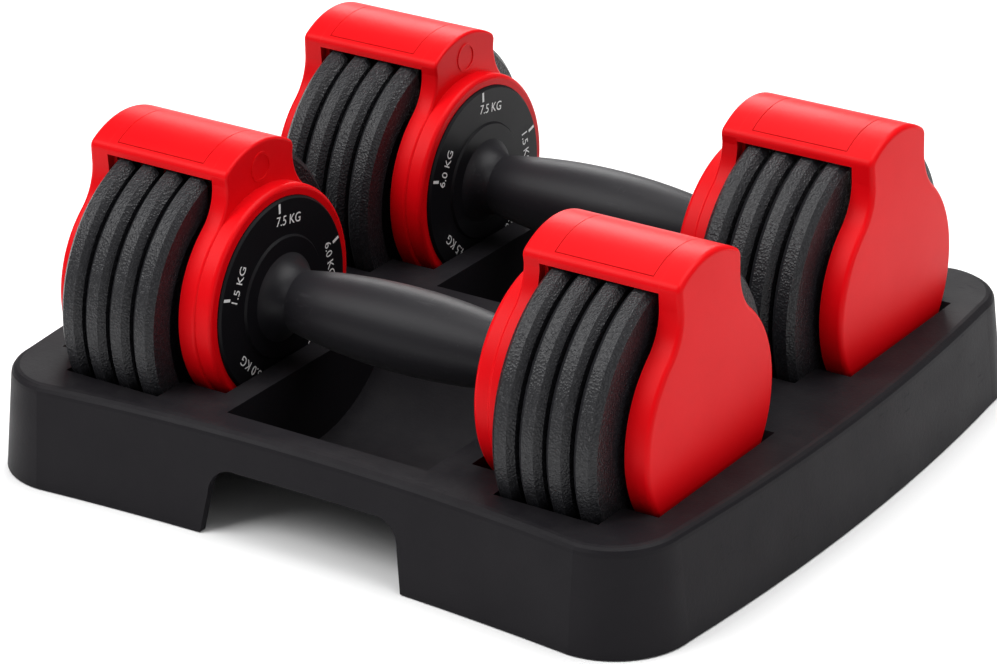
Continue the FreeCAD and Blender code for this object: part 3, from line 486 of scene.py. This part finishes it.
@dataclass(frozen=True)
class TexturedCoat(Finish):
    """Beaded coat on cast iron, with a painted highlight on its bead tops and along its edges."""

    # lighter colour of the painted highlight on bead tops and edges; then the edge highlight's strength and
    # radius
    painted_highlight_colour: Colour = (0.06, 0.06, 0.065)
    bead_scale: float = 900.0
    painted_highlight_amount: float = 0.5
    painted_highlight_radius: float = 0.8 * MM

    def material(self) -> bpy.types.Material:
        """Build the coat's material.

        Returns:
            The finished material.
        """
        material, graph, shader = self.start()
        beads = EFFECTS.use(graph, Effect.STIPPLE, Scale=self.bead_scale)
        mottle = EFFECTS.use(graph, Effect.MOTTLE, Scale=30.0, Contrast=0.9)
        # mask for the painted highlight along the edges
        edge = EFFECTS.use(graph, Effect.PAINTED_EDGE_HIGHLIGHT, Radius=self.painted_highlight_radius, Amount=self.painted_highlight_amount, Breakup=700.0)
        colour = graph.blend(mottle, self.colour, self.shade)
        # painted highlight: the tops of the beads lightened
        colour = graph.blend(graph.math("MULTIPLY", beads, 0.35), colour, self.painted_highlight_colour)
        # painted highlight: the edges lightened
        colour = graph.blend(edge, colour, self.painted_highlight_colour)
        graph.put(shader.inputs["Base Color"], colour)
        graph.put(shader.inputs["Roughness"], graph.spread(beads, 0.0, 1.0, self.rough, self.smooth))
        self.relieve(graph, shader, beads)
        return material


@dataclass(frozen=True)
class SoftRubber(Finish):
    """Soft-touch rubber with a dense fine grain and a faint bloom."""

    bloom: Colour = (0.04, 0.038, 0.042)

    def material(self) -> bpy.types.Material:
        """Build the rubber's material.

        Returns:
            The finished material.
        """
        material, graph, shader = self.start()
        mottle = EFFECTS.use(graph, Effect.MOTTLE, Scale=14.0, Contrast=0.7)
        scuff = EFFECTS.use(graph, Effect.SCUFFS, Scale=45.0, Amount=0.25)
        colour = graph.blend(mottle, self.colour, self.shade)
        graph.put(shader.inputs["Base Color"], graph.blend(scuff, colour, self.bloom))
        graph.put(shader.inputs["Roughness"], graph.spread(mottle, 0.0, 1.0, self.smooth, self.rough))
        shader.inputs["Sheen Weight"].default_value = 0.04
        shader.inputs["Sheen Roughness"].default_value = 0.5
        grain = EFFECTS.use(graph, Effect.MOULD_GRAIN, Scale=3200.0, Softness=0.8)
        self.relieve(graph, shader, grain)
        return material


@dataclass(frozen=True)
class BareMetal(Finish):
    """Plated or cast metal with tool lines and stained patches."""

    metallic: float = 1.0

    def material(self) -> bpy.types.Material:
        """Build the metal's material.

        Returns:
            The finished material.
        """
        material, graph, shader = self.start()
        mottle = EFFECTS.use(graph, Effect.MOTTLE, Scale=60.0, Contrast=1.0)
        lines = EFFECTS.use(graph, Effect.DRAWN_LINES, Scale=1400.0)
        graph.put(shader.inputs["Base Color"], graph.blend(mottle, self.colour, self.shade))
        graph.put(shader.inputs["Roughness"], graph.spread(lines, 0.3, 0.7, self.smooth, self.rough))
        shader.inputs["Metallic"].default_value = self.metallic
        self.relieve(graph, shader, lines)
        return material


@dataclass(frozen=True)
class PrintedInk(Finish):
    """Pad-printed ink, thin in places."""

    def material(self) -> bpy.types.Material:
        """Build the ink's material.

        Returns:
            The finished material.
        """
        material, graph, shader = self.start()
        speckle = graph.spread(graph.noise(graph.place(), 2200.0, detail=3.0), 0.25, 0.45)
        graph.put(shader.inputs["Base Color"], graph.blend(speckle, self.shade, self.colour))
        graph.put(shader.inputs["Roughness"], graph.spread(speckle, 0.0, 1.0, self.rough, self.smooth))
        self.relieve(graph, shader, speckle)
        return material


# in these finishes the lighter edge colours paint a highlight along the edges
RED_SHELL = MouldedPlastic(
    "red_shell", colour=(0.72, 0.002, 0.006), shade=(0.64, 0.0015, 0.004), smooth=0.34, rough=0.42,
    relief=0.02 * MM, painted_highlight_colour=(0.85, 0.04, 0.035), painted_highlight_amount=0.5, grain_scale=2200.0, scuffed=0.15, specular=0.09)
TRAY_PLASTIC = MouldedPlastic(
    "tray_plastic", colour=(0.0095, 0.0085, 0.0105), shade=(0.007, 0.0062, 0.008), smooth=0.46, rough=0.58,
    relief=0.05 * MM, painted_highlight_colour=(0.05, 0.048, 0.052), painted_highlight_amount=0.35, grain_scale=1500.0, grain_softness=1.0,
    scuffed=0.3, dust=0.02, specular=0.12)
DIAL_PLASTIC = MouldedPlastic(
    "dial_plastic", colour=(0.006, 0.0055, 0.007), shade=(0.0045, 0.0042, 0.0055), smooth=0.42, rough=0.5,
    relief=0.03 * MM, painted_highlight_colour=(0.04, 0.04, 0.045), painted_highlight_amount=0.25, grain_scale=2600.0, scuffed=0.2, specular=0.15)
PLATE_COAT = TexturedCoat(
    "plate_coat", colour=(0.006, 0.006, 0.008), shade=(0.004, 0.004, 0.0055), smooth=0.2, rough=0.5,
    relief=0.3 * MM, specular=0.35)
GRIP_RUBBER = SoftRubber(
    "grip_rubber", colour=(0.009, 0.0082, 0.0105), shade=(0.007, 0.0064, 0.0085), smooth=0.4, rough=0.48,
    relief=0.03 * MM, specular=0.2)
FOOT_RUBBER = SoftRubber(
    "foot_rubber", colour=(0.02, 0.02, 0.02), shade=(0.015, 0.015, 0.015), smooth=0.6, rough=0.7,
    relief=0.04 * MM)
PLATED_STEEL = BareMetal(
    "plated_steel", colour=(0.62, 0.62, 0.64), shade=(0.5, 0.5, 0.5), smooth=0.22, rough=0.36, relief=0.01 * MM)
SPRING_STEEL = BareMetal(
    "spring_steel", colour=(0.5, 0.5, 0.52), shade=(0.42, 0.41, 0.4), smooth=0.2, rough=0.35, relief=0.01 * MM)
CAST_METAL = BareMetal(
    "drum_metal", colour=(0.5, 0.5, 0.52), shade=(0.4, 0.4, 0.41), smooth=0.38, rough=0.55, relief=0.03 * MM)
WHITE_BUSH = MouldedPlastic(
    "bush_plastic", colour=(0.7, 0.69, 0.64), shade=(0.64, 0.62, 0.57), smooth=0.36, rough=0.45,
    relief=0.02 * MM, painted_highlight_colour=(0.78, 0.77, 0.74), painted_highlight_amount=0.2, scuffed=0.2)
WHITE_INK = PrintedInk(
    "white_ink", colour=(0.82, 0.82, 0.82), shade=(0.55, 0.55, 0.55), smooth=0.4, rough=0.55, relief=0.01 * MM)

FINISHES = (RED_SHELL, TRAY_PLASTIC, DIAL_PLASTIC, PLATE_COAT, GRIP_RUBBER, FOOT_RUBBER, PLATED_STEEL,
            SPRING_STEEL, CAST_METAL, WHITE_BUSH, WHITE_INK)


class Workshop:
    """Holds the built materials and hands them out by finish or by the record's slot."""

    def __init__(self, finishes: Iterable[Finish]) -> None:
        """Build every material.

        Args:
            finishes: the finishes to build.
        """
        self.materials = {finish.name: finish.material() for finish in finishes}

    def dress(self, piece: bpy.types.Object, finish: str) -> None:
        """Give a piece one finish all over.

        Args:
            piece: the object.
            finish: the finish's name.
        """
        piece.data.materials.clear()
        piece.data.materials.append(self.materials[finish])


class Hand(Enum):
    """Which end of a dumbbell, as the user sees the set from the front."""

    LEFT = -1
    RIGHT = 1


class Row(Enum):
    """Which dumbbell: the front one, or the back one, which is turned end for end."""

    FRONT = -1
    BACK = 1


def new_mesh_piece(name: str, vertices: Sequence[Vector], faces: Sequence[Sequence[int]]) -> bpy.types.Object:
    """Make an object from vertices and faces.

    Args:
        name: the piece's name.
        vertices: its corners.
        faces: its faces, as lists of corner numbers.

    Returns:
        The new object, linked to the scene.
    """
    mesh = bpy.data.meshes.new(name)
    mesh.from_pydata([tuple(v) for v in vertices], [], [tuple(f) for f in faces])
    mesh.validate()
    mesh.update()
    piece = bpy.data.objects.new(name, mesh)
    bpy.context.scene.collection.objects.link(piece)
    return piece


# ---------------------------------------------------------------- the dial's print

@dataclass
class DialPrint:
    """White scale on a dial's face: a tick and a weight at each of the five settings."""

    row: Row
    hand: Hand
    weights: tuple[str, ...] = ("7.5", "6.0", "4.5", "3.0", "1.5")
    unit: str = "KG"
    step: float = math.radians(72.0)
    tick_length: float = 5.0 * MM
    tick_width: float = 1.5 * MM
    tick_margin: float = 1.6 * MM
    letter_height: float = 4.9 * MM
    letter_drop: float = 4.6 * MM
    lag: float = math.radians(10.0)
    ink: float = 0.06 * MM
    boss_height: float = 1.0 * MM
    cap_height_share: float = 0.7

    @property
    def node(self) -> str:
        """Name of the dial's node."""
        return f"{self.row.name.lower()}_{self.hand.name.lower()}_dial"

    def build(self) -> bpy.types.Object:
        """Make the print and lay it on the dial.

        Returns:
            The print, riding with the handle.
        """
        low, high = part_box(self.node)
        inward = -self.hand.value
        radius = (high.z - low.z) / 2
        centre = (low + high) / 2
        parts: list[bpy.types.Object] = []
        outer = radius - self.tick_margin
        for number, weight in enumerate(self.weights):
            angle = self.angle(number)
            parts.append(self.tick(outer, angle))
            parts.append(self.legend(weight, outer - self.tick_length, angle))
        name = f"{self.node}_print"
        piece = join(parts, name)
        face = self.face_level(low, high)
        across = Vector((0, inward, 0))
        up = Vector((0, 0, 1))
        turn = Matrix((across, up, across.cross(up))).transposed().to_4x4()
        piece.data.transform(Matrix.Translation(Vector((face, centre.y, centre.z))) @ turn)
        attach(piece, f"{self.row.name.lower()}_handle")
        return piece

    def face_level(self, low: Vector, high: Vector) -> float:
        """Where the printed ring lies along X: behind the dial's raised middle.

        Args:
            low: the dial's lowest corner.
            high: the dial's highest corner.

        Returns:
            The X of the printed face.
        """
        inner = low.x if self.hand is Hand.RIGHT else high.x
        return inner + self.boss_height * self.hand.value

    def angle(self, number: int) -> float:
        """Direction of a setting on the dial, anticlockwise from straight up as the print is seen.

        Args:
            number: the setting, from 0.

        Returns:
            The angle in radians.
        """
        return -self.row.value * self.hand.value * number * self.step

    def tick(self, outer: float, angle: float) -> bpy.types.Object:
        """Make one tick.

        Args:
            outer: its outer end from the dial's middle.
            angle: its direction.

        Returns:
            The tick, flat in X and Y.
        """
        half = self.tick_width / 2
        inner = outer - self.tick_length
        flat = [(-half, inner), (half, inner), (half, outer), (-half, outer)]
        corners = [Vector((x, y, z)) for z in (-self.ink, self.ink) for x, y in flat]
        faces = [(3, 2, 1, 0), (4, 5, 6, 7), (0, 1, 5, 4), (1, 2, 6, 5), (2, 3, 7, 6), (3, 0, 4, 7)]
        made = new_mesh_piece("tick", corners, faces)
        made.data.transform(Matrix.Rotation(angle, 4, "Z"))
        return made

    def legend(self, weight: str, outer: float, angle: float) -> bpy.types.Object:
        """Make one weight's number and unit.

        Args:
            weight: the number.
            outer: where the tick ends, from the dial's middle.
            angle: the tick's direction.

        Returns:
            The lettering, flat in X and Y.
        """
        curve = bpy.data.curves.new("legend", "FONT")
        curve.body = f"{weight} {self.unit}"
        curve.size = self.letter_height / self.cap_height_share
        curve.align_x = "CENTER"
        curve.extrude = self.ink
        curve.resolution_u = 3
        text = bpy.data.objects.new("legend", curve)
        bpy.context.scene.collection.objects.link(text)
        bpy.context.view_layer.update()
        mesh = bpy.data.meshes.new_from_object(text.evaluated_get(bpy.context.evaluated_depsgraph_get()))
        bpy.data.objects.remove(text)
        bpy.data.curves.remove(curve)
        made = bpy.data.objects.new("legend", mesh)
        bpy.context.scene.collection.objects.link(made)
        made.data.transform(Matrix.Translation((0, outer - self.letter_drop - self.letter_height / 2, 0)))
        made.data.transform(Matrix.Rotation(angle - self.lag, 4, "Z"))
        return made


def join(parts: Sequence[bpy.types.Object], name: str) -> bpy.types.Object:
    """Join meshes into one piece.

    Args:
        parts: the objects, which are used up.
        name: the piece's name.

    Returns:
        The joined object.
    """
    vertices: list[Vector] = []
    faces: list[list[int]] = []
    for part in parts:
        start = len(vertices)
        vertices += [part.matrix_world @ v.co for v in part.data.vertices]
        faces += [[start + v for v in polygon.vertices] for polygon in part.data.polygons]
        mesh = part.data
        bpy.data.objects.remove(part)
        bpy.data.meshes.remove(mesh)
    return new_mesh_piece(name, vertices, faces)


# ---------------------------------------------------------------- the assemblies

@dataclass
class Dumbbell:
    """One dumbbell's pieces: they keep their shapes and get their finishes and their print."""

    row: Row
    prints: list[bpy.types.Object] = field(default_factory=list)

    def build(self) -> None:
        """Print the two dials."""
        for hand in Hand:
            self.prints.append(DialPrint(self.row, hand).build())

    def dress(self, workshop: Workshop) -> None:
        """Give the prints their ink.

        Args:
            workshop: the finished materials.
        """
        for piece in self.prints:
            workshop.dress(piece, WHITE_INK.name)


@dataclass
class CarriedParts:
    """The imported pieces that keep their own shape."""

    def dress(self, workshop: Workshop) -> None:
        """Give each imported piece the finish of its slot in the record.

        Args:
            workshop: the finished materials.
        """
        for entry in frame["record"]["subparts"]:
            piece = frame["nodes"][entry["node"]]
            workshop.dress(piece, entry["material_slot"])
            log.info("%s: %s", piece.name, entry["material_slot"])


# ---------------------------------------------------------------- studio

@dataclass
class SoftBox:
    """A large soft lamp aimed at the set."""

    name: str
    place: Vector
    size: float
    power: float
    colour: Colour = (1.0, 1.0, 1.0)
    aim: Vector = field(default_factory=lambda: Vector((0, 0, 0.06)))

    def build(self) -> bpy.types.Object:
        """Make the lamp.

        Returns:
            The lamp's object.
        """
        lamp = bpy.data.lights.new(self.name, "AREA")
        lamp.shape = "RECTANGLE"
        lamp.size = self.size
        lamp.size_y = self.size
        lamp.energy = self.power
        lamp.color = self.colour
        made = bpy.data.objects.new(self.name, lamp)
        bpy.context.scene.collection.objects.link(made)
        made.location = self.place
        made.rotation_mode = "QUATERNION"
        made.rotation_quaternion = (self.aim - self.place).to_track_quat("-Z", "Y")
        return made


@dataclass
class Studio:
    """Pale floor, soft light and the camera; a power is in watts, a lens in millimetres."""

    camera_place: Vector = field(default_factory=lambda: Vector((1.0083, -1.4822, 0.8688)))
    azimuth: float = math.radians(34.418)
    elevation: float = math.radians(24.549)
    roll: float = math.radians(-1.019)
    lens: float = 142.23
    floor_size: float = 6.0
    sky: float = 0.22
    sensor: float = 36.0
    view_reach: float = 50.0

    def build(self) -> None:
        """Make the floor, the lamps, the sky and the camera."""
        self.lay_floor()
        self.light()
        self.set_camera()

    def lay_floor(self) -> None:
        """Lay a pale floor under the set."""
        half = self.floor_size / 2
        corners = [Vector((x * half, y * half, 0)) for x, y in ((-1, -1), (1, -1), (1, 1), (-1, 1))]
        floor = new_mesh_piece("floor", corners, [(0, 1, 2, 3)])
        material = bpy.data.materials.new("pale_floor")
        material.use_nodes = True
        graph = Graph(material.node_tree)
        shader = material.node_tree.nodes["Principled BSDF"]
        cloud = graph.noise(graph.place(), 3.0, detail=2.0)
        graph.put(shader.inputs["Base Color"], graph.blend(cloud, (0.93, 0.93, 0.93), (0.95, 0.95, 0.95)))
        shader.inputs["Roughness"].default_value = 0.75
        floor.data.materials.append(material)

    def light(self) -> None:
        """Set the soft boxes and the sky."""
        boxes = (
            SoftBox("key_box", Vector((-1.1, -1.3, 1.9)), 1.6, 44.0),
            SoftBox("top_box", Vector((0.2, 0.5, 2.2)), 2.0, 58.0),
            SoftBox("side_box", Vector((2.2, -0.3, 1.0)), 1.5, 9.0),
            SoftBox("back_box", Vector((-1.3, 2.0, 1.25)), 0.9, 20.0),
        )
        for box in boxes:
            box.build()
        world = bpy.data.worlds.new("studio")
        world.use_nodes = True
        background = world.node_tree.nodes["Background"]
        background.inputs["Color"].default_value = (1.0, 1.0, 1.0, 1.0)
        background.inputs["Strength"].default_value = self.sky
        bpy.context.scene.world = world
        bpy.context.scene.view_settings.view_transform = "Standard"

    def set_camera(self) -> None:
        """Set the camera at a three-quarter view from the front right."""
        data = bpy.data.cameras.new("camera")
        data.lens = self.lens
        data.sensor_width = self.sensor
        data.clip_end = self.view_reach
        camera = bpy.data.objects.new("camera", data)
        bpy.context.scene.collection.objects.link(camera)
        side, rise = math.cos(self.elevation), math.sin(self.elevation)
        back = Vector((math.sin(self.azimuth) * side, -math.cos(self.azimuth) * side, rise))
        right = Vector((math.cos(self.azimuth), math.sin(self.azimuth), 0))
        up = back.cross(right)
        leaned_right = right * math.cos(self.roll) + up * math.sin(self.roll)
        leaned_up = up * math.cos(self.roll) - right * math.sin(self.roll)
        turn = Matrix((leaned_right, leaned_up, back)).transposed()
        camera.matrix_world = Matrix.Translation(self.camera_place) @ turn.to_4x4()
        bpy.context.scene.camera = camera


def main() -> None:
    """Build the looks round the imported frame, piece by piece."""
    logging.basicConfig(level=logging.INFO, format="%(message)s")
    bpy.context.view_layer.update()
    workshop = Workshop(FINISHES)
    CarriedParts().dress(workshop)
    for row in Row:
        dumbbell = Dumbbell(row)
        dumbbell.build()
        dumbbell.dress(workshop)
        log.info("%s dumbbell: %d printed dials", row.name.lower(), len(dumbbell.prints))
    Studio().build()


if __name__ == "__main__":
    main()
